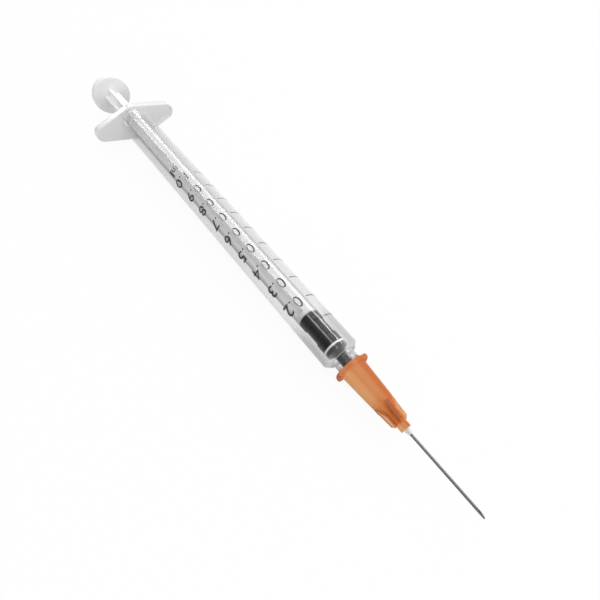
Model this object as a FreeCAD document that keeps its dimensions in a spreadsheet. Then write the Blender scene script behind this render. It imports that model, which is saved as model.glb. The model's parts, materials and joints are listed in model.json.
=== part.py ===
"""Slip-tip syringe of one millilitre with a fixed-on needle, plunger pushed home.

Every piece is drawn along the local X axis. X grows towards the needle's point, and
X = 0 is the zero line of the scale, just ahead of the stopper's front seal. The whole
syringe is then laid on its side: the thumb disc's rim and the barrel's front shoulder
touch the ground at Z = 0, and the finger flange lies level along Y.
"""
import math
import os

import FreeCAD
import Part
import Sketcher

Vector = FreeCAD.Vector

# How near two lengths must be to count as one
TOLERANCE = 0.001

# Driving sizes, in millimetres
SIZES = {
    # barrel
    "barrel_outer_d": 8.0,
    "bore_d": 4.75,
    "scale_length": 56.2,
    "grip_length": 34.05,
    "bore_overrun": 0.75,
    "bore_cone_length": 0.6,
    "end_wall": 0.8,
    "shoulder_chamfer": 0.85,
    "mouth_chamfer": 0.35,
    "stop_ring_height": 0.15,
    "stop_ring_width": 0.8,
    "stop_ring_inset": 3.2,
    "tip_collar_d": 4.9,
    "tip_collar_length": 1.75,
    "luer_tip_d": 3.96,
    "luer_taper": 0.06,
    "luer_length": 5.8,
    "lumen_d": 2.6,
    # finger flange
    "flange_thickness": 2.1,
    "flange_span": 23.0,
    "flange_waist_d": 9.8,
    "flange_end_d": 4.6,
    "flange_root_fillet": 0.35,
    "flange_edge_fillet": 0.4,
    # plunger rod
    "rod_d": 4.2,
    "rib_thickness": 0.9,
    "guide_collar_d": 4.3,
    "guide_collar_width": 1.0,
    "thumb_reach": 14.35,
    "thumb_disc_d": 11.0,
    "thumb_disc_thickness": 1.5,
    "thumb_disc_fillet": 0.4,
    "thumb_disc_chamfer": 0.3,
    "thumb_dish_rim": 1.1,
    "thumb_dish_depth": 0.25,
    "neck_d": 1.8,
    "neck_length": 1.1,
    "head_d": 2.7,
    "head_length": 2.0,
    "head_nose_d": 1.3,
    # stopper
    "stopper_length": 8.6,
    "seal_clearance": 0.03,
    "seal_setback": 0.45,
    "front_seal_width": 2.3,
    "front_land_drop": 0.12,
    "front_land_ramp": 0.15,
    "rear_seal_width": 1.9,
    "waist_depth": 0.22,
    "waist_ramp": 0.35,
    "stopper_edge_chamfer": 0.2,
    "cone_gap": 0.12,
    "stopper_nose_d": 2.3,
    "nose_setback": 0.6,
    "head_clearance": 0.06,
    "collar_gap": 0.1,
    # needle hub
    "cone_engagement": 5.35,
    "cone_clearance": 0.02,
    "hub_plate_d": 5.7,
    "hub_plate_thickness": 1.05,
    "lug_span": 7.4,
    "lug_width": 2.8,
    "lug_fillet": 0.4,
    "hub_body_rear_d": 5.4,
    "hub_body_front_d": 4.35,
    "hub_taper_length": 8.85,
    "hub_socket_depth": 7.6,
    "hub_funnel_length": 1.2,
    "hub_shoulder_length": 2.4,
    "hub_core_d": 2.3,
    "hub_nose_d": 2.1,
    "hub_nose_length": 1.25,
    "fin_length": 4.8,
    "fin_heel_length": 1.3,
    "fin_inset": 0.03,
    "fin_step": 0.1,
    "fin_taper": 0.25,
    "fin_thickness": 0.7,
    "fin_corner": 0.55,
    "glue_well_d": 1.4,
    "glue_well_depth": 0.8,
    # cannula and its bond
    "cannula_d": 0.51,
    "cannula_bore_d": 0.26,
    "cannula_reach": 17.4,
    "bevel_length": 2.0,
    "bond_gap": 0.02,
    "bead_length": 1.1,
    "bead_front_d": 0.8,
}

doc = FreeCAD.newDocument("syringe_with_needle")
sheet = doc.addObject("Spreadsheet::Sheet", "Sizes")
for row, (alias, millimetres) in enumerate(SIZES.items(), start=1):
    sheet.set(f"A{row}", alias)
    sheet.set(f"B{row}", str(millimetres))
    sheet.setAlias(f"B{row}", alias)
doc.recompute()


class Size:
    """A worked-out size: its number, and the formula that gives it from the sheet."""

    def __init__(self, number, formula):
        self.number = number
        self.formula = formula

    def joined(self, other, sign, number):
        return Size(number, f"({self.formula} {sign} {as_size(other).formula})")

    def __add__(self, other):
        return self.joined(other, "+", self.number + as_size(other).number)

    def __sub__(self, other):
        return self.joined(other, "-", self.number - as_size(other).number)

    def __mul__(self, other):
        return self.joined(other, "*", self.number * as_size(other).number)

    def __truediv__(self, other):
        return self.joined(other, "/", self.number / as_size(other).number)

    def __neg__(self):
        return as_size(0.0) - self

    def root(self):
        return Size(math.sqrt(self.number), f"sqrt({self.formula})")


def as_size(value):
    if isinstance(value, Size):
        return value
    return Size(float(value), repr(float(value)))


def cell(alias):
    return Size(SIZES[alias], f"Sizes.{alias}")


def half(alias):
    return cell(alias) / 2


def bind(thing, path, size):
    """Give a property its size, and the formula that keeps it with the sheet."""
    thing.setExpression(path, as_size(size).formula)


# Stations along the axis, all from the driving sizes
barrel_rear = -(cell("scale_length") + cell("grip_length"))
flange_front = barrel_rear + cell("flange_thickness")
lumen_rear = cell("bore_overrun") + cell("bore_cone_length")
barrel_front = lumen_rear + cell("end_wall")
shoulder_start = barrel_front - cell("shoulder_chamfer")
collar_front = barrel_front + cell("tip_collar_length")
tip_front = collar_front + cell("luer_length")
disc_front = barrel_rear - cell("thumb_reach")
disc_rear = disc_front - cell("thumb_disc_thickness")
stopper_rear = -cell("stopper_length")
hub_rear = tip_front - cell("cone_engagement")
hub_plate_front = hub_rear + cell("hub_plate_thickness")
hub_taper_front = hub_rear + cell("hub_taper_length")
hub_core_rear = hub_taper_front + cell("hub_shoulder_length")
fins_front = hub_taper_front + cell("fin_length")
hub_front = fins_front + cell("hub_nose_length")
cannula_rear = hub_rear + cell("hub_socket_depth") + cell("hub_funnel_length")
cannula_point = hub_front + cell("cannula_reach")

# How it lies: the line that touches the thumb disc's rim and the barrel's shoulder
ground_slope = (half("thumb_disc_d") - half("barrel_outer_d")) / (shoulder_start - disc_front)
lying_cosine = as_size(1.0) / (ground_slope * ground_slope + 1.0).root()
lying_height = (half("barrel_outer_d") + shoulder_start * ground_slope) * lying_cosine
rear_reach = (half("thumb_disc_d") * ground_slope - disc_rear) * lying_cosine
front_reach = cannula_point * lying_cosine
lying_middle = (rear_reach - front_reach) / 2


def new_body(label):
    """A body at the syringe's lying attitude."""
    body = doc.addObject("PartDesign::Body", label)
    body.Label = label
    body.Placement = FreeCAD.Placement(Vector(0, 0, 0), FreeCAD.Rotation(Vector(0, 1, 0), 1.0))
    bind(body, "Placement.Base.x", lying_middle)
    bind(body, "Placement.Base.z", lying_height)
    body.setExpression("Placement.Rotation.Angle", f"atan({ground_slope.formula})")
    return body


def new_sketch(body, name, plane_role, station=None):
    """A sketch on one of the body's own planes, moved along the plane's normal."""
    plane = next(item for item in body.Origin.OriginFeatures if item.Role == plane_role)
    sketch = body.newObject("Sketcher::SketchObject", name)
    sketch.AttachmentSupport = [(plane, "")]
    sketch.MapMode = "FlatFace"
    if station is not None:
        bind(sketch, "AttachmentOffset.Base.z", station)
    return sketch


def pin_point(sketch, edge, end, across, up):
    """Hold one end of an edge at its sketch coordinates; up of None means on the axis."""
    held = sketch.addConstraint(Sketcher.Constraint("DistanceX", edge, end, across.number))
    bind(sketch, f"Constraints[{held}]", across)
    if up is None:
        sketch.addConstraint(Sketcher.Constraint("PointOnObject", edge, end, -1))
        return
    held = sketch.addConstraint(Sketcher.Constraint("DistanceY", edge, end, up.number))
    bind(sketch, f"Constraints[{held}]", up)


def draw_outline(sketch, corners):
    """A closed outline of straight edges through corners (across, up)."""
    spots = []
    for across, up in corners:
        height = 0.0 if up is None else up.number
        spots.append(Vector(across.number, height, 0))
    count = len(corners)
    for index in range(count):
        sketch.addGeometry(Part.LineSegment(spots[index], spots[(index + 1) % count]), False)
    for index in range(count):
        following = (index + 1) % count
        sketch.addConstraint(Sketcher.Constraint("Coincident", index, 2, following, 1))
    for index, (across, up) in enumerate(corners):
        pin_point(sketch, index, 1, across, up)


def turned(body, name, corners, cut=False):
    """Turn an outline of (station, radius) about the syringe's axis, or cut it away."""
    sketch = new_sketch(body, f"{name}_outline", "XZ_Plane")
    draw_outline(sketch, corners)
    kind = "PartDesign::Groove" if cut else "PartDesign::Revolution"
    feature = body.newObject(kind, name)
    feature.Profile = sketch
    feature.ReferenceAxis = (sketch, ["H_Axis"])
    feature.Angle = 360.0
    before = body_volume(body, feature)
    doc.recompute()
    check_direction(feature, before, cut)
    return feature


def body_volume(body, feature):
    """Volume of the body before its newest feature."""
    base = feature.BaseFeature
    return base.Shape.Volume if base else 0.0


def check_direction(feature, before, cut):
    """A cut must take material away, and anything else must add some."""
    change = feature.Shape.Volume - before
    if cut == (change >= 0.0):
        raise RuntimeError(f"{feature.Name} changes the volume by {change:.4f}")


def padded(body, name, sketch, length, symmetric=False, add=True):
    """Pad a sketch along its normal, to one side or to both."""
    feature = body.newObject("PartDesign::Pad" if add else "PartDesign::Pocket", name)
    feature.Profile = sketch
    feature.SideType = "Symmetric" if symmetric else "One side"
    bind(feature, "Length", length)
    before = body_volume(body, feature)
    doc.recompute()
    check_direction(feature, before, not add)
    return feature


def patterned(body, name, original, count):
    """Repeat a feature evenly about the syringe's axis."""
    axis = next(item for item in body.Origin.OriginFeatures if item.Role == "X_Axis")
    pattern = body.newObject("PartDesign::PolarPattern", name)
    pattern.Originals = [original]
    pattern.Axis = (axis, [""])
    pattern.Angle = 360.0
    pattern.Occurrences = count
    body.Tip = pattern
    doc.recompute()
    return pattern


def edges_where(feature, test):
    """Names of the edges that pass a test."""
    names = []
    for number, edge in enumerate(feature.Shape.Edges, start=1):
        if test(edge):
            names.append(f"Edge{number}")
    return names


def filleted(body, name, feature, test, radius):
    """Round the edges that pass a test."""
    names = edges_where(feature, test)
    if not names:
        raise RuntimeError(f"{name} finds no edge")
    fillet = body.newObject("PartDesign::Fillet", name)
    fillet.Base = (feature, names)
    bind(fillet, "Radius", radius)
    doc.recompute()
    return fillet


def close_to(value, size):
    return abs(value - size.number) < TOLERANCE


def middle_of(edge):
    """The point halfway along an edge."""
    return edge.valueAt((edge.FirstParameter + edge.LastParameter) / 2)


def radius_of(edge):
    """Distance of an edge's mid-point from the syringe's axis."""
    middle = middle_of(edge)
    return math.hypot(middle.y, middle.z)


def is_arc(edge):
    return isinstance(edge.Curve, Part.Circle)


def is_ring(edge, station, radius):
    """Whether an edge is a full ring about the axis at a station and radius."""
    at_place = close_to(middle_of(edge).x, station) and close_to(radius_of(edge), radius)
    return edge.isClosed() and at_place


# Barrel
def luer_radius(station):
    """Radius of the male cone at a station."""
    return half("luer_tip_d") + (tip_front - station) * cell("luer_taper") / 2


def draw_flange(sketch):
    """Two small end arcs and two waist arcs, joined by four tangent lines."""
    waist = half("flange_waist_d")
    end = half("flange_end_d")
    reach = half("flange_span") - end
    lean = math.asin((waist.number - end.number) / reach.number)
    upright = math.pi / 2

    def spot(centre, radius, angle):
        return Vector(centre + radius * math.cos(angle), radius * math.sin(angle), 0)

    def arc(centre, radius, first, last):
        circle = Part.Circle(Vector(centre, 0, 0), Vector(0, 0, 1), radius)
        return sketch.addGeometry(Part.ArcOfCircle(circle, first, last), False)

    turn = upright - lean
    right = arc(reach.number, end.number, -turn, turn)
    top = arc(0.0, waist.number, turn, math.pi - turn)
    left = arc(-reach.number, end.number, math.pi - turn, math.pi + turn)
    bottom = arc(0.0, waist.number, math.pi + turn, 2 * math.pi - turn)
    sides = ((right, top, turn, reach.number, 0.0, end.number, waist.number),
             (top, left, math.pi - turn, 0.0, -reach.number, waist.number, end.number),
             (left, bottom, math.pi + turn, -reach.number, 0.0, end.number, waist.number),
             (bottom, right, -turn, 0.0, reach.number, waist.number, end.number))
    for start_arc, end_arc, angle, first_x, last_x, first_r, last_r in sides:
        first = spot(first_x, first_r, angle)
        last = spot(last_x, last_r, angle)
        line = sketch.addGeometry(Part.LineSegment(first, last), False)
        sketch.addConstraint(Sketcher.Constraint("Tangent", start_arc, 2, line, 1))
        sketch.addConstraint(Sketcher.Constraint("Tangent", line, 2, end_arc, 1))
    for waist_arc in (top, bottom):
        sketch.addConstraint(Sketcher.Constraint("Coincident", waist_arc, 3, -1, 1))
    for end_arc, side in ((right, reach), (left, -reach)):
        sketch.addConstraint(Sketcher.Constraint("PointOnObject", end_arc, 3, -1))
        held = sketch.addConstraint(Sketcher.Constraint("DistanceX", end_arc, 3, side.number))
        bind(sketch, f"Constraints[{held}]", side)
        held = sketch.addConstraint(Sketcher.Constraint("Radius", end_arc, end.number))
        bind(sketch, f"Constraints[{held}]", end)
    for waist_arc in (top, bottom):
        held = sketch.addConstraint(Sketcher.Constraint("Radius", waist_arc, waist.number))
        bind(sketch, f"Constraints[{held}]", waist)


def make_barrel():
    """Tube, front wall, tip collar and male cone in one moulding, with the flange."""
    outer = half("barrel_outer_d")
    bore = half("bore_d")
    lumen = half("lumen_d")
    body = new_body("barrel")
    turned(body, "barrel_wall", [
        (barrel_rear, None),
        (barrel_rear, outer),
        (shoulder_start, outer),
        (barrel_front, outer - cell("shoulder_chamfer")),
        (barrel_front, half("tip_collar_d")),
        (collar_front, half("tip_collar_d")),
        (collar_front, luer_radius(collar_front)),
        (tip_front, luer_radius(tip_front)),
        (tip_front, None),
    ])
    flange_sketch = new_sketch(body, "flange_outline", "YZ_Plane", barrel_rear)
    draw_flange(flange_sketch)
    flange = padded(body, "finger_flange", flange_sketch, cell("flange_thickness"))
    root = filleted(body, "flange_root", flange,
                    lambda edge: is_ring(edge, flange_front, outer),
                    cell("flange_root_fillet"))
    filleted(body, "flange_edges", root, on_flange_rim, cell("flange_edge_fillet"))
    ring_front = barrel_rear + cell("stop_ring_inset") + cell("stop_ring_width")
    ring_rear = barrel_rear + cell("stop_ring_inset")
    ring_bore = bore - cell("stop_ring_height")
    ring_lead = cell("stop_ring_height")
    turned(body, "bore", [
        (barrel_rear, None),
        (barrel_rear, bore + cell("mouth_chamfer")),
        (barrel_rear + cell("mouth_chamfer"), bore),
        (ring_rear - ring_lead, bore),
        (ring_rear, ring_bore),
        (ring_front, ring_bore),
        (ring_front + ring_lead, bore),
        (cell("bore_overrun"), bore),
        (lumen_rear, lumen),
        (tip_front, lumen),
        (tip_front, None),
    ], cut=True)
    return body


def on_flange_rim(edge):
    """Whether an edge belongs to one of the flange's two outer rims."""
    station = middle_of(edge).x
    on_face = close_to(station, barrel_rear) or close_to(station, flange_front)
    return on_face and radius_of(edge) > half("flange_waist_d").number - TOLERANCE


# Stopper
def make_stopper():
    """Rubber piston: two seals, a waist, a blunt front and a nose, with a socket behind."""
    seal = half("bore_d") - cell("seal_clearance")
    waist = seal - cell("waist_depth")
    chamfer = cell("stopper_edge_chamfer")
    nose = half("stopper_nose_d")
    land = seal - cell("front_land_drop")
    seal_front = -cell("seal_setback")
    seal_rear = seal_front - cell("front_seal_width")
    rear_seal_front = stopper_rear + cell("rear_seal_width")
    clearance = cell("head_clearance")
    mouth = half("neck_d") + clearance
    room = half("head_d") + clearance
    lip_front = stopper_rear + cell("neck_length") - cell("collar_gap") - clearance
    room_front = lip_front + cell("head_length") + clearance * 2
    body = new_body("stopper")
    turned(body, "stopper_moulding", [
        (stopper_rear, mouth),
        (stopper_rear, seal - chamfer),
        (stopper_rear + chamfer, seal),
        (rear_seal_front, seal),
        (rear_seal_front + cell("waist_ramp"), waist),
        (seal_rear - cell("waist_ramp"), waist),
        (seal_rear, seal),
        (seal_front, seal),
        (seal_front + cell("front_land_ramp"), land),
        (cell("bore_overrun") - cell("cone_gap"), land),
        (lumen_rear - cell("cone_gap"), nose),
        (tip_front - cell("nose_setback"), nose),
        (tip_front - cell("nose_setback"), None),
        (room_front, None),
        (room_front, half("head_nose_d") + clearance),
        (lip_front + half("head_length"), room),
        (lip_front, room),
        (lip_front, mouth),
    ])
    return body


# Plunger rod
def make_plunger_rod():
    """Thumb disc, four ribs, guide collar, neck and mushroom head in one moulding."""
    collar_rear = stopper_rear - cell("collar_gap") - cell("guide_collar_width")
    collar_end = stopper_rear - cell("collar_gap")
    neck_front = collar_end + cell("neck_length")
    head_front = neck_front + cell("head_length")
    rim = half("thumb_disc_d")
    chamfer = cell("thumb_disc_chamfer")
    dish = rim - cell("thumb_dish_rim")
    body = new_body("plunger_rod")
    disc = turned(body, "thumb_disc", [
        (disc_front, None),
        (disc_front, rim),
        (disc_rear + chamfer, rim),
        (disc_rear, rim - chamfer),
        (disc_rear, dish),
        (disc_rear + cell("thumb_dish_depth"), dish - cell("thumb_dish_depth")),
        (disc_rear + cell("thumb_dish_depth"), None),
    ])
    filleted(body, "thumb_disc_rim", disc,
             lambda edge: is_ring(edge, disc_front, rim),
             cell("thumb_disc_fillet"))
    rib_sketch = new_sketch(body, "rib_outline", "XZ_Plane")
    draw_outline(rib_sketch, [
        (disc_front - cell("thumb_dish_depth"), None),
        (disc_front - cell("thumb_dish_depth"), half("rod_d")),
        (collar_rear, half("rod_d")),
        (collar_rear, None),
    ])
    rib = padded(body, "rib", rib_sketch, cell("rib_thickness"), symmetric=True)
    patterned(body, "ribs", rib, 4)
    turned(body, "collar_and_head", [
        (collar_rear, None),
        (collar_rear, half("guide_collar_d")),
        (collar_end, half("guide_collar_d")),
        (collar_end, half("neck_d")),
        (neck_front, half("neck_d")),
        (neck_front, half("head_d")),
        (neck_front + half("head_length"), half("head_d")),
        (head_front, half("head_nose_d")),
        (head_front, None),
    ])
    return body


# Needle hub
def draw_lugs(sketch):
    """A bar across the hub whose two ends are arcs about the axis."""
    radius = half("lug_span")
    width = half("lug_width")
    turn = math.asin(width.number / radius.number)
    corner = radius.number * math.cos(turn)
    high = width.number
    circle = Part.Circle(Vector(0, 0, 0), Vector(0, 0, 1), radius.number)
    right = sketch.addGeometry(Part.ArcOfCircle(circle, -turn, turn), False)
    left = sketch.addGeometry(Part.ArcOfCircle(circle, math.pi - turn, math.pi + turn), False)
    top = sketch.addGeometry(Part.LineSegment(Vector(corner, high, 0), Vector(-corner, high, 0)))
    low = sketch.addGeometry(Part.LineSegment(Vector(-corner, -high, 0), Vector(corner, -high, 0)))
    for edge, following in ((right, top), (top, left), (left, low), (low, right)):
        sketch.addConstraint(Sketcher.Constraint("Coincident", edge, 2, following, 1))
    for arc in (right, left):
        sketch.addConstraint(Sketcher.Constraint("Coincident", arc, 3, -1, 1))
        held = sketch.addConstraint(Sketcher.Constraint("Radius", arc, radius.number))
        bind(sketch, f"Constraints[{held}]", radius)
    for line, side in ((top, width), (low, -width)):
        sketch.addConstraint(Sketcher.Constraint("Horizontal", line))
        held = sketch.addConstraint(Sketcher.Constraint("DistanceY", line, 1, side.number))
        bind(sketch, f"Constraints[{held}]", side)


def make_needle_hub():
    """Socket with two lugs behind, tapered body, four fins and a glue well in the nose."""
    core = half("hub_core_d")
    front = half("hub_body_front_d")
    nose = half("hub_nose_d")
    plate = half("hub_plate_d")
    body = new_body("needle_hub")
    turned(body, "hub_moulding", [
        (hub_rear, None),
        (hub_rear, plate),
        (hub_plate_front, plate),
        (hub_plate_front, half("hub_body_rear_d")),
        (hub_taper_front, front),
        (hub_core_rear, core),
        (fins_front, core),
        (fins_front, nose),
        (hub_front, nose),
        (hub_front, None),
    ])
    lug_sketch = new_sketch(body, "lug_outline", "YZ_Plane", hub_rear)
    draw_lugs(lug_sketch)
    lugs = padded(body, "lugs", lug_sketch, cell("hub_plate_thickness"))
    lug_reach = half("lug_span")
    filleted(body, "lug_rounding", lugs,
             lambda edge: is_arc(edge) and close_to(radius_of(edge), lug_reach),
             cell("lug_fillet"))
    heel_top = front - cell("fin_inset")
    heel_front = hub_taper_front + cell("fin_heel_length")
    fin_top = heel_top - cell("fin_step")
    fin_sketch = new_sketch(body, "fin_outline", "XZ_Plane")
    draw_outline(fin_sketch, [
        (hub_taper_front, core / 2),
        (hub_taper_front, heel_top),
        (heel_front, heel_top),
        (heel_front, fin_top),
        (fins_front - cell("fin_corner"), fin_top - cell("fin_taper")),
        (fins_front, fin_top - cell("fin_taper") - cell("fin_corner")),
        (fins_front, core / 2),
    ])
    fin = padded(body, "fin", fin_sketch, cell("fin_thickness"), symmetric=True)
    patterned(body, "fins", fin, 4)
    socket_front = hub_rear + cell("hub_socket_depth")
    channel = half("cannula_d") + cell("bond_gap")
    clearance = cell("cone_clearance")
    turned(body, "socket", [
        (hub_rear, None),
        (hub_rear, luer_radius(hub_rear) + clearance),
        (socket_front, luer_radius(socket_front) + clearance),
        (cannula_rear, channel),
        (hub_front - cell("glue_well_depth"), channel),
        (hub_front - cell("glue_well_depth"), half("glue_well_d")),
        (hub_front, half("glue_well_d")),
        (hub_front, None),
    ], cut=True)
    return body


# Cannula
def make_cannula():
    """Steel tube, open at both ends, ground to a bevel that faces up."""
    outer = half("cannula_d")
    inner = half("cannula_bore_d")
    body = new_body("cannula")
    turned(body, "tube", [
        (cannula_rear, inner),
        (cannula_rear, outer),
        (cannula_point, outer),
        (cannula_point, inner),
    ])
    bevel_start = cannula_point - cell("bevel_length")
    clear = cell("cannula_d")
    sketch = new_sketch(body, "bevel_outline", "XZ_Plane")
    draw_outline(sketch, [
        (bevel_start, outer),
        (cannula_point, -outer),
        (cannula_point + clear, -outer),
        (cannula_point + clear, clear),
        (bevel_start, clear),
    ])
    padded(body, "bevel", sketch, clear * 2, symmetric=True, add=False)
    return body


# Adhesive bead
def make_adhesive_bead():
    """Bond that fills the glue well and tapers out along the cannula."""
    inner = half("cannula_d") + cell("bond_gap") / 2
    well = half("glue_well_d") - cell("bond_gap")
    well_floor = hub_front - cell("glue_well_depth") + cell("bond_gap")
    body = new_body("adhesive_bead")
    turned(body, "bead", [
        (well_floor, inner),
        (well_floor, well),
        (hub_front, well),
        (hub_front + cell("bead_length"), half("bead_front_d")),
        (hub_front + cell("bead_length"), inner),
    ])
    return body


def main():
    pieces = [
        make_barrel(),
        make_stopper(),
        make_plunger_rod(),
        make_needle_hub(),
        make_cannula(),
        make_adhesive_bead(),
    ]
    doc.recompute()
    for item in doc.Objects:
        if "Invalid" in item.State or "Error" in item.State:
            raise RuntimeError(f"{item.Name} failed: {item.State}")
    for piece in pieces:
        if piece.Shape.isNull() or not piece.Shape.isValid():
            raise RuntimeError(f"{piece.Label} has no valid shape")
        if len(piece.Shape.Solids) != 1:
            raise RuntimeError(f"{piece.Label} isn't one solid")
    os.makedirs("parts", exist_ok=True)
    for piece in pieces:
        piece.Shape.exportStep(f"parts/{piece.Label}.step")
        box = piece.Shape.BoundBox
        print(f"{piece.Label}: {piece.Shape.Volume:.2f} mm3, "
              f"x {box.XMin:.2f} to {box.XMax:.2f}, y {box.YMin:.2f} to {box.YMax:.2f}, "
              f"z {box.ZMin:.3f} to {box.ZMax:.3f}")
    axis = Vector(lying_cosine.number, 0, -(ground_slope * lying_cosine).number)
    print(f"syringe's axis: {axis.x:.7f}, {axis.y:.7f}, {axis.z:.7f}")
    print(f"zero line at x {lying_middle.number:.4f}, z {lying_height.number:.4f}")


main()
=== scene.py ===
# %% [markdown]
# # A small syringe with its needle
#
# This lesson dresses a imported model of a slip-tip syringe. The six moulded, drawn and
# bonded pieces come ready made, at their real size, and stay where they are. What is
# left for us is how they look: clear and milky plastic, black rubber, an orange hub,
# steel, and the scale printed round the barrel.
#
# The syringe lies on its side. Its needle points along +X and its finger flange lies
# level along Y.

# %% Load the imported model
import json
import math

import bmesh
import bpy
from mathutils import Euler, Matrix, Vector


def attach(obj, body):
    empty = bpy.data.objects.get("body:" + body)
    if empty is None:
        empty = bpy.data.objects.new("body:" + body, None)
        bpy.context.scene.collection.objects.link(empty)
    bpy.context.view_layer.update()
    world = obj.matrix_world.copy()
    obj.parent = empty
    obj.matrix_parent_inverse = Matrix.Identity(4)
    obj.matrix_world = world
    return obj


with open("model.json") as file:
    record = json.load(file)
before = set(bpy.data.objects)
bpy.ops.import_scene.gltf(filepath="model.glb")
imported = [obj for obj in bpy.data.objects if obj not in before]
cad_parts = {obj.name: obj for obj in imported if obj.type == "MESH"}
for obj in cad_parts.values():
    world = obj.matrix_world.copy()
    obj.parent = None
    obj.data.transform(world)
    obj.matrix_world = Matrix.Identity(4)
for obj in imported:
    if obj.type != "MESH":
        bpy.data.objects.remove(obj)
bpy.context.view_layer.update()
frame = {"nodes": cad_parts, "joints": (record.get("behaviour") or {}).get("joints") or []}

print("pieces:", ", ".join(sorted(frame["nodes"])))

# %% [markdown]
# ## Finding our way on the syringe
#
# The syringe doesn't lie quite level: the thumb disc is wider than the barrel, so its
# axis slopes down by about a degree. Two joints of the model tell us where the axis is.
# From them we make one matrix that takes a point in the syringe's own coordinates
# (station along the axis from the zero line, across, up) to its place on the table.

# %% The syringe's own coordinates
MM = 0.001
joints = {joint["name"]: joint for joint in frame["joints"]}
along = Vector(joints["needle_pull"]["axis"]).normalized()
zero_line = Vector(joints["rod_spin"]["pos_m"])
across = Vector((0.0, 1.0, 0.0))
upward = along.cross(across)
lying = Matrix.Translation(zero_line) @ Matrix((along, across, upward)).transposed().to_4x4()
print("axis slopes by", round(math.degrees(math.asin(-along.z)), 2), "degrees")

# %% [markdown]
# ## The camera
#
# The photograph looks down steeply on the needle's end, from close by, with a short
# lens: the near end of the barrel looks half as wide again as the far end. A lens
# of 24 mm on a 36 mm wide sensor gives that. The place and the turn were worked out
# from the print on the barrel and from the barrel's two edges.

# %% Camera
SENSOR_WIDTH = 36.0
LENS = 24.0
CAMERA_PLACE = (57.06, -27.11, 74.54)
CAMERA_TURNS = (32.772, -0.865, 52.588)

camera = bpy.data.objects.new("camera", bpy.data.cameras.new("camera"))
bpy.context.scene.collection.objects.link(camera)
camera.data.sensor_width = SENSOR_WIDTH
camera.data.lens = LENS
camera.data.clip_start = 1 * MM
camera.location = Vector(CAMERA_PLACE) * MM
camera.rotation_euler = Euler([math.radians(turn) for turn in CAMERA_TURNS])
bpy.context.scene.camera = camera
bpy.context.scene.view_settings.view_transform = "Standard"
print("camera stands", round(camera.location.z / MM, 1), "mm above the table")

# %% [markdown]
# ## Shader maths as sums
#
# A material node does one small sum, and a drawing of forty of them is hard to read.
# So we wrap a socket in a class that knows + - * / and powers: writing `1 - mask * 0.4`
# then adds the Math nodes for us. Colours and directions don't go through Math
# nodes, because those turn a colour grey: they have methods of their own.


# %% A socket that can be added and multiplied
class Signal:
    """One number that changes over a surface, as a shader socket."""

    def __init__(self, recipe, socket):
        self.recipe = recipe
        self.socket = socket

    def maths(self, operation, *values):
        node = self.recipe.node("ShaderNodeMath", {"operation": operation}, dict(enumerate(values)))
        return Signal(self.recipe, node.outputs[0])

    def __add__(self, other):
        return self.maths("ADD", self, other)

    def __radd__(self, other):
        return self.maths("ADD", other, self)

    def __sub__(self, other):
        return self.maths("SUBTRACT", self, other)

    def __rsub__(self, other):
        return self.maths("SUBTRACT", other, self)

    def __mul__(self, other):
        return self.maths("MULTIPLY", self, other)

    def __rmul__(self, other):
        return self.maths("MULTIPLY", other, self)

    def __truediv__(self, other):
        return self.maths("DIVIDE", self, other)

    def __rtruediv__(self, other):
        return self.maths("DIVIDE", other, self)

    def __pow__(self, other):
        return self.maths("POWER", self, other)

    def __rpow__(self, other):
        return self.maths("POWER", other, self)

    def step_up(self, low, high):
        """0 below low, 1 above high, and a soft slope between."""
        settings = {"interpolation_type": "SMOOTHSTEP"}
        node = self.recipe.node("ShaderNodeMapRange", settings, {0: self, 1: low, 2: high})
        return Signal(self.recipe, node.outputs[0])

    def band(self, low, high, soft):
        """1 between low and high, fading out over the width soft on both sides."""
        return self.step_up(low - soft, low) * (1 - self.step_up(high, high + soft))

    def capped(self):
        """Never more than 1."""
        return self.maths("MINIMUM", self, 1.0)


# %% [markdown]
# The recipe is the material itself. One method adds any node: it takes the node's
# type, then its settings, then the values or links of its sockets. The rest are
# short names for what this syringe needs often, such as the station along the axis
# and the distance from it, which say where on the syringe a point is.


# %% A material and its nodes
WHITE = (1.0, 1.0, 1.0, 1.0)


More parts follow.
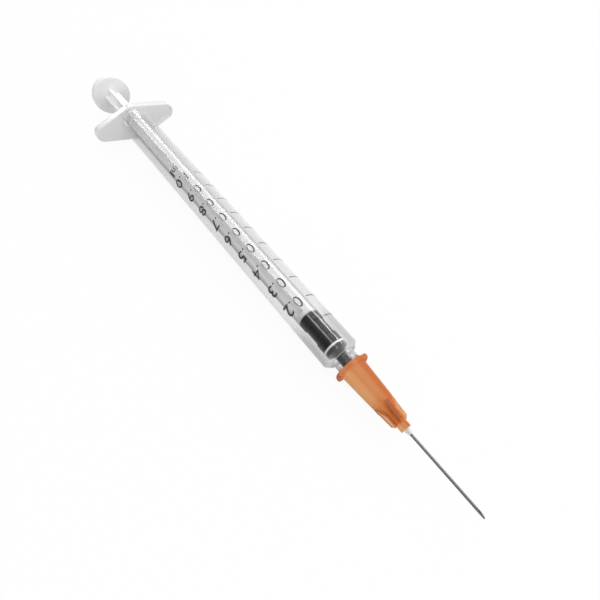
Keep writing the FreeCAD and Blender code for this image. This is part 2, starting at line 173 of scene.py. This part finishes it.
class Recipe:
    """A material, or the world, that is put together node by node."""

    def __init__(self, owner):
        owner.use_nodes = True
        self.tree = owner.node_tree
        self.tree.nodes.clear()

    def node(self, kind, settings=None, values=None):
        made = self.tree.nodes.new(kind)
        for name, setting in (settings or {}).items():
            setattr(made, name, setting)
        for name, value in (values or {}).items():
            socket = made.inputs[name]
            if isinstance(value, Signal):
                value = value.socket
            if isinstance(value, bpy.types.NodeSocket):
                self.tree.links.new(value, socket)
            else:
                socket.default_value = value
        return made

    def signal(self, kind, output, settings=None, values=None):
        return Signal(self, self.node(kind, settings, values).outputs[output])

    def vector(self, operation, *values):
        """The vector that a Vector Math node gives."""
        settings = {"operation": operation}
        return self.node("ShaderNodeVectorMath", settings, dict(enumerate(values))).outputs[0]

    def colour(self, share, first, second):
        """The first colour where share is 0 and the second where it is 1."""
        settings = {"data_type": "RGBA"}
        return self.node("ShaderNodeMix", settings, {0: share, 6: first, 7: second}).outputs[2]

    def place(self):
        """Object coordinates: where the point is, in metres."""
        return self.node("ShaderNodeTexCoord").outputs["Object"]

    def from_zero(self):
        """The way from the zero line on the syringe's axis to the point."""
        return self.vector("SUBTRACT", self.place(), tuple(zero_line))

    def station(self):
        """Distance along the syringe from its zero line, in millimetres."""
        return self.reach(self.from_zero(), tuple(along)) / MM

    def off_axis(self):
        """Distance from the syringe's axis, in millimetres."""
        sideways = self.vector("CROSS_PRODUCT", self.from_zero(), tuple(along))
        settings = {"operation": "LENGTH"}
        return self.signal("ShaderNodeVectorMath", "Value", settings, {0: sideways}) / MM

    def outward(self):
        """The direction away from the syringe's axis, one long."""
        sideways = self.vector("CROSS_PRODUCT", self.from_zero(), tuple(along))
        return self.vector("NORMALIZE", self.vector("CROSS_PRODUCT", tuple(along), sideways))

    def reach(self, vector, direction):
        """How far a vector reaches along a direction: 1 where two directions agree."""
        settings = {"operation": "DOT_PRODUCT"}
        return self.signal("ShaderNodeVectorMath", "Value", settings, {0: vector, 1: direction})

    def faces(self):
        """Which way the surface faces."""
        return self.node("ShaderNodeNewGeometry").outputs["Normal"]

    def noise(self, scale, detail=2.0, stretch=None):
        """Cloudy noise around 0.5. scale is in repeats a metre; stretch draws it out."""
        place = self.place()
        if stretch:
            place = self.vector("MULTIPLY", place, stretch)
        values = {"Vector": place, "Scale": scale, "Detail": detail}
        return self.signal("ShaderNodeTexNoise", "Fac", {}, values)

    def edge_on(self):
        """0 where the surface faces us, 1 where it turns away. Only for clearness and gloss."""
        return self.signal("ShaderNodeLayerWeight", "Facing")

    def bump(self, height, strength, distance):
        """Fine relief that a shader takes as its Normal."""
        values = {"Height": height, "Strength": strength, "Distance": distance}
        return self.node("ShaderNodeBump", {}, values).outputs[0]

    def plastic(self, **values):
        """A Principled shader. An underscore in a socket's name stands for a space."""
        named = {name.replace("_", " "): value for name, value in values.items()}
        return self.node("ShaderNodeBsdfPrincipled", {}, named).outputs[0]

    def see_through(self, tint=WHITE):
        """A shader that lets light straight through."""
        return self.node("ShaderNodeBsdfTransparent", {}, {"Color": tint}).outputs[0]

    def mixed(self, share, first, second):
        """The first shader where share is 0 and the second where it is 1."""
        return self.node("ShaderNodeMixShader", {}, {0: share, 1: first, 2: second}).outputs[0]

    def show(self, surface, volume=None):
        values = {"Surface": surface}
        if volume:
            values["Volume"] = volume
        self.node("ShaderNodeOutputMaterial", {}, values)


def material(name):
    """A new named material and its recipe."""
    made = bpy.data.materials.new(name)
    return made, Recipe(made)


def dress(node, finish):
    """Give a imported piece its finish."""
    frame["nodes"][node].material_slots[0].material = finish
    print(node, "wears", finish.name, "with", len(finish.node_tree.nodes), "nodes")


# %% [markdown]
# ## Table and daylight
#
# The photograph is a cut-out on pure white. The table is a pale plane that shows as
# white to the camera, in reflections and through clear plastic, with a share of its
# true shading left in, so that the syringe keeps a faint shadow. Light that bounces
# off the table comes from its real, greyer colour.

# %% Table
WHITE_SHARE = 0.93
TABLE_HALF = 2.0
BOUNCE_GREY = (0.5, 0.5, 0.5, 1)
SEEN_GREY = (0.9, 0.9, 0.9, 1)

bm = bmesh.new()
bmesh.ops.create_grid(bm, x_segments=1, y_segments=1, size=TABLE_HALF)
table_mesh = bpy.data.meshes.new("table")
bm.to_mesh(table_mesh)
bm.free()
table = bpy.data.objects.new("table", table_mesh)
bpy.context.scene.collection.objects.link(table)
table_top, recipe = material("table_top")
path = recipe.node("ShaderNodeLightPath").outputs
seen = Signal(recipe, path["Is Camera Ray"]) + path["Is Glossy Ray"] + path["Is Transmission Ray"]
grey = recipe.colour(path["Is Camera Ray"], BOUNCE_GREY, SEEN_GREY)
matt = recipe.node("ShaderNodeBsdfDiffuse", {}, {"Color": grey}).outputs[0]
bright = recipe.node("ShaderNodeEmission", {}, {"Color": WHITE, "Strength": 1.0}).outputs[0]
recipe.show(recipe.mixed(seen.capped() * WHITE_SHARE, matt, bright))
table_mesh.materials.append(table_top)
print("table is", 2 * TABLE_HALF, "m wide")

# %% [markdown]
# The world is the white room around the table. It is brightest above, in front (+X)
# and on the right of the photograph (+Y), and falls off to the left, which is why the
# barrel's left side is grey in the photograph and its right side nearly vanishes. We
# read the direction of the light itself, so it stays the same from wherever we look.

# %% The room's light
BRIGHT_SIDE = (0.60, 0.64, 0.48)
DIM = (0.12, 0.122, 0.127, 1)

world = bpy.data.worlds.new("white_room")
bpy.context.scene.world = world
recipe = Recipe(world)
direction = recipe.node("ShaderNodeTexCoord").outputs["Generated"]
lean = recipe.reach(direction, BRIGHT_SIDE)
room = recipe.colour(lean.step_up(-0.9, 0.8), DIM, WHITE)
seen = Signal(recipe, recipe.node("ShaderNodeLightPath").outputs["Is Camera Ray"])
shown = recipe.colour(seen, room, WHITE)
light = recipe.node("ShaderNodeBackground", {}, {"Color": shown, "Strength": 1.0}).outputs[0]
recipe.node("ShaderNodeOutputWorld", {}, {"Surface": light})
print("room has", len(world.node_tree.nodes), "nodes")

# %% [markdown]
# Three wide lamps light the syringe: one overhead, a window on the right and a low
# fill from the front left. The bright lines along the barrel come from two narrow
# strips that only show in the gloss. A round bar shows a lamp where its surface faces
# halfway between lamp and camera, and that gave the strips their angles. They reach
# far past the flange, because the far end of the barrel mirrors what lies beyond it,
# and they stop behind the middle, so that the needle doesn't mirror them and stays dark.


# %% Lamps
def lamp_over(name, angle, distance, width, length, radiance, shift=0.0):
    """A rectangular lamp turned to the syringe, at an angle from straight up towards -Y."""
    turn = math.radians(angle)
    watts = radiance * math.pi * width * length
    lamp = bpy.data.objects.new(name, bpy.data.lights.new(name, "AREA"))
    lamp.data.shape = "RECTANGLE"
    lamp.data.size = length
    lamp.data.size_y = width
    lamp.data.energy = watts
    lamp.location = (shift, -math.sin(turn) * distance, math.cos(turn) * distance)
    lamp.rotation_euler = (turn, 0, 0)
    bpy.context.scene.collection.objects.link(lamp)
    print(name, "gives", round(watts, 2), "W from", distance, "m")
    return lamp


STRIP_DISTANCE = 0.42
STRIP_LENGTH = 0.84
STRIP_SHIFT = -0.48

overhead = lamp_over("overhead", 8.0, 0.5, 0.25, 0.5, 0.6)
overhead.visible_glossy = False
lamp_over("window", -50.0, 0.6, 0.5, 0.7, 1.3)
fill = lamp_over("fill", 75.0, 0.5, 0.4, 0.4, 1.9, shift=0.35)
fill.visible_glossy = False
for name, angle, width, radiance in (("right_strip", -26.0, 0.10, 28.0), ("left_strip", 12.0, 0.05, 10.0)):
    strip = lamp_over(name, angle, STRIP_DISTANCE, width, STRIP_LENGTH, radiance, STRIP_SHIFT)
    strip.visible_diffuse = False

# %% [markdown]
# ## Clear barrel
#
# The barrel is clear polypropylene: we look through it, but it is a little milky,
# and its walls look greyer where we look along them. Real glass with refraction
# would be noisy and would hide the lamps from the pieces inside, so this is a sheet
# of clear and glossy plastic instead. Its share of plastic grows towards the edges,
# where the surface turns away, in the thick front end and on the solid flange, and a
# faint absorption in the wall draws the dark lines along the edge of the bore. On the
# bore's surface and in the thick front end the plastic is grey instead of milk white:
# that grey is painted shade, which darkens those lines and the front end.
#
# Two lines are painted light, because a wall that doesn't bend light can't show
# them: the white ring where the bore ends is a painted highlight, and the grey line
# along the flange's rear is painted shade.

# %% Barrel finish
MILK_WHITE = (0.94, 0.94, 0.945, 1)
# The grey of the painted shade on the barrel.
PAINTED_SHADE_GREY = (0.5, 0.5, 0.51, 1)
SHEET_ROUGHNESS = 0.15
WALL_DENSITY = 40.0

barrel_finish, recipe = material("clear_barrel")
station = recipe.station()
radius = recipe.off_axis()
turned_away = recipe.edge_on()
outside_tip = station.step_up(2.1, 2.2) * radius.step_up(1.4, 1.5)
outer = (radius.step_up(2.7, 2.9) + outside_tip).capped()
thick_end = station.step_up(-11.0, -4.0)
outer_milk = turned_away.step_up(0.2, 1.0) * 0.45 + turned_away.step_up(0.05, 0.45) * thick_end * 0.42
touching = station.band(-8.6, -0.5, 0.1)
inner_milk = turned_away.step_up(0.25, 0.7) * 0.5 * (1 - touching * 0.9)
flange = 1 - station.step_up(-88.3, -87.9)
wings = flange * radius.step_up(2.5, 2.8)
# Painted highlight: a white ring where the bore ends, in the colour and in the milk share.
ring_painted_highlight = station.band(-0.5, -0.15, 0.08) * radius.band(2.2, 2.45, 0.05)
milk = outer * outer_milk + (1 - outer) * inner_milk + wings * 0.55 + ring_painted_highlight * 0.85 + 0.003
streaks = recipe.noise(500.0, 2.0, (0.04, 1.0, 1.0))
# Painted shade: a grey line along the rear edge of the flange's wings.
rear_painted_shade = wings * (1 - station.step_up(-90.05, -89.85))
# Painted shade: grey instead of milk white on the bore's surface, in the thick front end and on the
# flange's rear line.
painted_shade_share = 1 - outer + outer * thick_end * 0.8 + rear_painted_shade * 0.9
milk_and_painted_shade = recipe.colour(painted_shade_share.capped(), MILK_WHITE, PAINTED_SHADE_GREY)
shell = recipe.plastic(
    Base_Color=recipe.colour(ring_painted_highlight, milk_and_painted_shade, WHITE),
    Roughness=0.12 + streaks * 0.08 + (1 - outer) * 0.5,
    IOR=1.46,
    Specular_IOR_Level=0.3,
    Normal=recipe.bump(streaks, 0.1, 0.005 * MM),
)
clear = recipe.see_through()
sheet = {"Color": WHITE, "Roughness": SHEET_ROUGHNESS}
gloss = recipe.node("ShaderNodeBsdfGlossy", {}, sheet).outputs[0]
polish = outer * (turned_away ** 4 * 0.25 + 0.027)
smoke = {"Color": (0, 0, 0, 1), "Density": WALL_DENSITY}
wall = recipe.node("ShaderNodeVolumeAbsorption", {}, smoke).outputs[0]
surface = recipe.mixed(polish, recipe.mixed(milk.capped(), clear, shell), gloss)
recipe.show(surface, wall)
dress("barrel", barrel_finish)

# %% [markdown]
# ## Plunger rod
#
# The rod is the same plastic without the polish of the barrel. Its thin ribs let
# light in, so they look white and soft. A little subsurface light does that, a small
# share of clear lets what is behind show faintly, and fine noise keeps the moulded
# faces from looking like paint.

# %% Rod finish
rod_finish, recipe = material("clear_rod")
cloud = recipe.noise(1500.0, 3.0)
milky = recipe.colour(cloud, (0.91, 0.915, 0.92, 1), (0.95, 0.95, 0.95, 1))
body = recipe.plastic(
    Base_Color=milky,
    Roughness=0.45 + cloud * 0.15,
    IOR=1.46,
    Specular_IOR_Level=0.15,
    Subsurface_Weight=0.5,
    Subsurface_Radius=(1.0, 1.0, 1.0),
    Subsurface_Scale=1 * MM,
    Normal=recipe.bump(cloud, 0.1, 0.004 * MM),
)
clear = recipe.see_through()
recipe.show(recipe.mixed(0.85 + recipe.edge_on() * 0.15, clear, body))
dress("plunger_rod", rod_finish)

# %% [markdown]
# ## Stopper
#
# Black rubber with a film of silicone oil, so its two seals shine like wet rubber.
# The cone and the nose in front have no film and touch no wall: they stay matt, and
# look dark grey through the end of the barrel.

# %% Stopper finish
rubber_finish, recipe = material("black_rubber")
station = recipe.station()
grain = recipe.noise(6000.0, 2.0)
front = station.step_up(-0.44, -0.38)
rubber = recipe.plastic(
    Base_Color=recipe.colour(front, (0.003, 0.003, 0.0035, 1), (0.07, 0.07, 0.072, 1)),
    Roughness=0.35 + front * 0.25 + grain * 0.05,
    IOR=1.5,
    Specular_IOR_Level=0.15,
    Normal=recipe.bump(grain, 0.05, 0.004 * MM),
)
recipe.show(rubber)
dress("stopper", rubber_finish)

# %% [markdown]
# ## Needle hub
#
# The hub's colour is the code for the needle's gauge. It is translucent: the thick
# socket glows a soft orange, the solid core in front and the lugs are deeper and
# redder, and the flanks of the four thin fins let much light through. We tell the fins
# from the core by their distance from the axis, and their narrow edges by the way
# that they face.
#
# In the photograph the light shines through one side of the hub more than through the
# other. We copy that with a paler side (-Y) and a deeper side (+Y) in the colour. It
# is fixed to the hub, so it stays the same from wherever we look.

# %% Hub finish
FINS_START = 13.2
CONE_RADIUS = 2.175
CONE_FALL = 0.427

hub_finish, recipe = material("orange_hub")
station = recipe.station()
radius = recipe.off_axis()
swirl = recipe.noise(450.0, 2.0, (0.4, 1.0, 1.0))
cone = CONE_RADIUS - (station - FINS_START) * CONE_FALL
past_cone = (radius - cone).step_up(0.02, 0.15) * radius.step_up(1.2, 1.3)
fins = station.step_up(FINS_START - 0.1, FINS_START) * past_cone
flanks = fins * (1 - recipe.reach(recipe.faces(), recipe.outward()).step_up(0.4, 0.7))
core = station.step_up(11.0, 15.5) * (1 - station.step_up(17.6, 18.3))
side = recipe.reach(recipe.outward(), tuple(across))
pale = recipe.colour(swirl, (0.97, 0.43, 0.18, 1), (1.0, 0.48, 0.22, 1))
middle = recipe.colour(side.step_up(-0.8, -0.35), pale, (0.70, 0.29, 0.10, 1))
shaded = recipe.colour(side.step_up(-0.3, 0.45), middle, (0.57, 0.145, 0.024, 1))
lugs = (1 - station.step_up(7.0, 7.2)) * radius.step_up(2.75, 2.95)
deep = recipe.colour((core + lugs).capped(), shaded, (0.56, 0.14, 0.022, 1))
fin_edges = fins * recipe.reach(recipe.faces(), recipe.outward()).step_up(0.75, 0.9)
lined = recipe.colour(fin_edges, deep, (0.40, 0.10, 0.018, 1))
tint = recipe.colour(flanks, lined, (0.72, 0.31, 0.11, 1))
orange = recipe.plastic(
    Base_Color=tint,
    Roughness=0.38 + swirl * 0.12,
    IOR=1.46,
    Specular_IOR_Level=0.25,
    Subsurface_Weight=0.4,
    Subsurface_Radius=(1.0, 0.45, 0.2),
    Subsurface_Scale=1 * MM,
    Normal=recipe.bump(recipe.noise(2500.0), 0.15, 0.02 * MM),
)
clear = recipe.see_through(tint=(0.97, 0.75, 0.58, 1))
recipe.show(recipe.mixed(0.88 - flanks * 0.48, clear, orange))
dress("needle_hub", hub_finish)

# %% [markdown]
# ## Cannula
#
# Drawn stainless tube, half a millimetre thick. Drawing leaves fine lines along it,
# so the noise is stretched along X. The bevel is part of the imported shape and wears
# the same steel: it shows because it faces another way.

# %% Cannula finish
steel_finish, recipe = material("cannula_steel")
lines = recipe.noise(9000.0, 2.0, (0.02, 1.0, 1.0))
steel = recipe.plastic(
    Base_Color=recipe.colour(lines, (0.13, 0.13, 0.135, 1), (0.20, 0.20, 0.205, 1)),
    Metallic=1.0,
    Roughness=0.4 + lines * 0.15,
    Normal=recipe.bump(lines, 0.2, 0.005 * MM),
)
recipe.show(steel)
dress("cannula", steel_finish)

# %% [markdown]
# ## Adhesive bead
#
# A drop of clear adhesive holds the steel in the hub. It has set glassy, slightly
# yellow against the orange.

# %% Bead finish
bond_finish, recipe = material("clear_bond")
bubbles = recipe.noise(5000.0, 2.0)
resin = recipe.plastic(
    Base_Color=recipe.colour(bubbles, (0.80, 0.82, 0.78, 1), (0.9, 0.9, 0.86, 1)),
    Roughness=0.1 + bubbles * 0.1,
    IOR=1.5,
)
clear = recipe.see_through()
recipe.show(recipe.mixed(0.55 + recipe.edge_on() * 0.35, clear, resin))
dress("adhesive_bead", bond_finish)

# %% [markdown]
# ## Ink
#
# The scale is screen printed in black. The film of ink isn't quite solid, so its
# cover varies a little, which thins the strokes here and there. In the photograph a
# bright line of light washes the figures out along the barrel. We copy that with a
# strip of thinner ink, fixed to the barrel.

# %% Ink finish
ink_finish, recipe = material("scale_ink")
cover = recipe.noise(4000.0, 3.0)
sideways = recipe.reach(recipe.outward(), tuple(across))
washed_out = sideways.band(-0.44, -0.27, 0.06) * 0.62
ink = recipe.plastic(
    Base_Color=recipe.colour(cover, (0.015, 0.015, 0.016, 1), (0.05, 0.05, 0.052, 1)),
    Roughness=0.6,
    Specular_IOR_Level=0.1,
)
clear = recipe.see_through()
recipe.show(recipe.mixed((cover * 0.5 + 0.7).capped() * (1 - washed_out), clear, ink))
print(ink_finish.name, "has", len(ink_finish.node_tree.nodes), "nodes")

# %% [markdown]
# ## Wrapping print round the barrel
#
# Print starts flat and is rolled onto the barrel. Flat shapes have long triangles
# that would cut through the round wall, so we first slice the shape into narrow
# strips with `bisect_plane`, and then bend each vertex: its distance to the side
# becomes an angle round the axis. Angles count from straight up towards -Y, and
# the tops of the figures point to the needle.

# %% Roll a flat shape onto the barrel
BARREL_RADIUS = 4.0
INK_LIFT = 0.012
SLICE_WIDTH = 0.2


def rolled(bm, station, angle):
    """Slice a flat shape (in mm) into strips and roll it onto the barrel at its place."""
    across_shape = [vertex.co.x for vertex in bm.verts]
    cut = math.floor(min(across_shape) / SLICE_WIDTH) * SLICE_WIDTH + SLICE_WIDTH
    while cut < max(across_shape):
        everything = bm.verts[:] + bm.edges[:] + bm.faces[:]
        bmesh.ops.bisect_plane(bm, geom=everything, plane_co=(cut, 0, 0), plane_no=(1, 0, 0))
        cut += SLICE_WIDTH
    reach = BARREL_RADIUS + INK_LIFT
    for vertex in bm.verts:
        turn = math.radians(angle) + vertex.co.x / BARREL_RADIUS
        local = Vector((station + vertex.co.y, -reach * math.sin(turn), reach * math.cos(turn)))
        vertex.co = lying @ (local * MM)


def printed(name, shapes):
    """Join rolled shapes into one printed piece that rides on the barrel."""
    joined = bmesh.new()
    for bm in shapes:
        scratch = bpy.data.meshes.new("scratch")
        bm.to_mesh(scratch)
        bm.free()
        joined.from_mesh(scratch)
        bpy.data.meshes.remove(scratch)
    mesh = bpy.data.meshes.new(name)
    joined.to_mesh(mesh)
    joined.free()
    mesh.materials.append(ink_finish)
    piece = bpy.data.objects.new(name, mesh)
    bpy.context.scene.collection.objects.link(piece)
    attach(piece, "barrel")
    print(name, "has", len(mesh.polygons), "faces")
    return piece


# %% [markdown]
# ## Graduation lines
#
# Ten thin lines mark the tenths. Each starts beside the figures and runs round the
# far side of the barrel, where the photograph loses it at the edge.

# %% Lines
PITCH = 5.62
LINE_WIDTH = 0.2
LINE_START = -18.6
LINE_END = -84.0


def line_at(station):
    """One graduation line, as a flat strip before it is rolled."""
    length = math.radians(LINE_START - LINE_END) * BARREL_RADIUS
    bm = bmesh.new()
    bmesh.ops.create_grid(bm, x_segments=1, y_segments=1, size=0.5)
    bmesh.ops.scale(bm, vec=(length, LINE_WIDTH, 1), verts=bm.verts)
    bmesh.ops.translate(bm, vec=(-length / 2, 0, 0), verts=bm.verts)
    rolled(bm, station, LINE_START)
    return bm


printed("graduation_lines", [line_at(-PITCH * tenth) for tenth in range(1, 11)])

# %% [markdown]
# ## Figures
#
# A text object becomes a mesh while it is still flat, because a curve can't be
# rolled. Each character is placed by its own middle. Its size is measured on the mesh,
# because a font's letters don't fill the height that the text object is given.

# %% Characters
FIGURE_NARROW = 0.86


def character(sign, height, station, angle, narrow=FIGURE_NARROW, bold=0.0):
    """One character, made a mesh while flat, then sized, centred and rolled."""
    writing = bpy.data.curves.new("writing", "FONT")
    writing.body = sign
    writing.offset = bold
    holder = bpy.data.objects.new("writing", writing)
    mesh = bpy.data.meshes.new_from_object(holder)
    bm = bmesh.new()
    bm.from_mesh(mesh)
    bpy.data.objects.remove(holder)
    bpy.data.curves.remove(writing)
    bpy.data.meshes.remove(mesh)
    bmesh.ops.remove_doubles(bm, verts=bm.verts, dist=1e-5)
    xs = [vertex.co.x for vertex in bm.verts]
    ys = [vertex.co.y for vertex in bm.verts]
    size = height / (max(ys) - min(ys))
    middle = Vector(((max(xs) + min(xs)) / 2, (max(ys) + min(ys)) / 2, 0))
    bmesh.ops.translate(bm, vec=-middle, verts=bm.verts)
    bmesh.ops.scale(bm, vec=(size * narrow, size, size), verts=bm.verts)
    rolled(bm, station, angle)
    return bm


POINT_RADIUS = 0.2


def point(station, angle):
    """The decimal point, a round dot."""
    bm = bmesh.new()
    bmesh.ops.create_circle(bm, cap_ends=True, segments=16, radius=POINT_RADIUS)
    rolled(bm, station, angle)
    return bm


# %% [markdown]
# There is one row for each tenth from 0.2 to 1.0: the whole number, the point and the
# last figure stand at three fixed angles, and the last one is a little larger and
# bolder. The 4 keeps its plain outline, because a bolder one fills its small opening.

# %% Rows of figures
FIRST_HEIGHT = 2.652
LAST_HEIGHT = 2.754
LAST_NARROW = 0.98
LAST_BOLD = 0.012
FIRST_ANGLE = 13.0
POINT_ANGLE = 33.0
LAST_ANGLE = 51.0
FIGURE_SHIFT = 0.16
POINT_SHIFT = -0.96

for tenth in range(2, 11):
    row = -PITCH * tenth
    whole, part = f"{tenth / 10:.1f}".split(".")
    bold = 0.0 if part == "4" else LAST_BOLD
    printed(f"figures_{whole}_{part}", [
        character(whole, FIRST_HEIGHT, row + FIGURE_SHIFT, FIRST_ANGLE),
        point(row + POINT_SHIFT, POINT_ANGLE),
        character(part, LAST_HEIGHT, row + FIGURE_SHIFT, LAST_ANGLE, LAST_NARROW, bold),
    ])

# %% [markdown]
# The unit stands behind the last row, on the flange's side, in smaller letters. The
# photograph blurs them, so they are read as the usual unit of such a scale.

# %% Unit
UNIT_STATION = -PITCH * 10 - 3.6
printed("unit", [
    character("m", 1.45, UNIT_STATION - 0.45, 28.0, bold=0.02),
    character("l", 2.4, UNIT_STATION, 47.0, bold=0.05),
])
